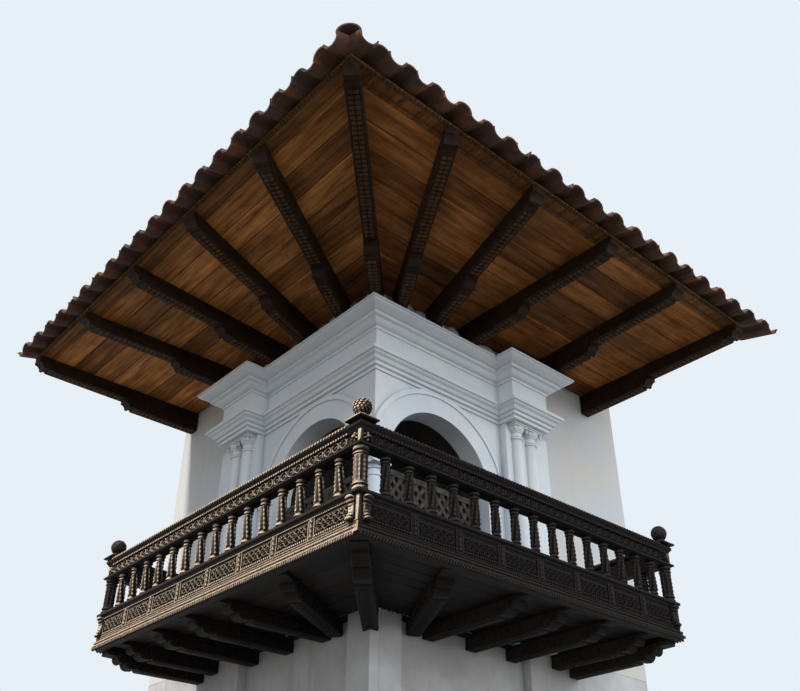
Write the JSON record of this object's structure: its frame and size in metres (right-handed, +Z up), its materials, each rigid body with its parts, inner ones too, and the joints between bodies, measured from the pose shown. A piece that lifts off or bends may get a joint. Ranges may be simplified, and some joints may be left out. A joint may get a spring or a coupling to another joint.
{
  "type": "carved wooden corner balcony on an arcaded masonry house corner with a tiled boarded eave",
  "caption": "Street corner of a plastered masonry house with a carved wooden corner balcony, arched openings behind lattice leaves, and a deep boarded eave under a tiled roof.",
  "frame": {"origin": "on the ground under the middle of the whole building corner's bounding box", "axes": "+Z is up, -Y is the way the front wall faces, and +X is the way the side wall faces"},
  "size_m": [7.063, 7.063, 10.7248],
  "materials": {
    "plaster": "limewashed plaster",
    "moulded_plaster": "painted moulded plaster",
    "carved_wood": "dark stained, worn",
    "rafter_wood": "dark stained",
    "board_wood": "oiled boards",
    "clay_tiles": "weathered clay"
  },
  "bodies": {
    "root": {"lower_front_wall": "plaster", "lower_side_wall": "plaster", "left_party_wall": "plaster", "rear_party_wall": "plaster", "corner_pilaster": "plaster", "end_pilasters": "plaster", "upper_front_wall": "plaster", "upper_side_wall": "plaster", "wall_head_front": "plaster", "wall_head_side": "plaster", "corner_column": "moulded_plaster", "front_columns": "moulded_plaster", "side_columns": "moulded_plaster", "archivolt_front": "moulded_plaster", "archivolt_side": "moulded_plaster", "entablature_front": "moulded_plaster", "entablature_side": "moulded_plaster", "entablature_breaks": "moulded_plaster", "corbels_front": "carved_wood", "corbels_side": "carved_wood", "hip_corbel": "carved_wood", "frieze_front": "carved_wood", "frieze_side": "carved_wood", "frieze_returns": "carved_wood", "mid_rail": "carved_wood", "top_rail": "carved_wood", "balusters_front": "carved_wood", "balusters_side": "carved_wood", "balusters_returns": "carved_wood", "corner_post": "carved_wood", "end_posts": "carved_wood", "lattice_front": "carved_wood", "lattice_side": "carved_wood", "hip_rafter": "rafter_wood", "rafters_front": "rafter_wood", "rafters_side": "rafter_wood", "upper_floor": "board_wood", "deck": "board_wood", "soffit_front": "board_wood", "soffit_side": "board_wood", "eave_edge": "board_wood", "verge_boards": "board_wood", "roof_front": "clay_tiles", "roof_side": "clay_tiles", "hip_tiles": "clay_tiles"}
  },
  "joints": []
}
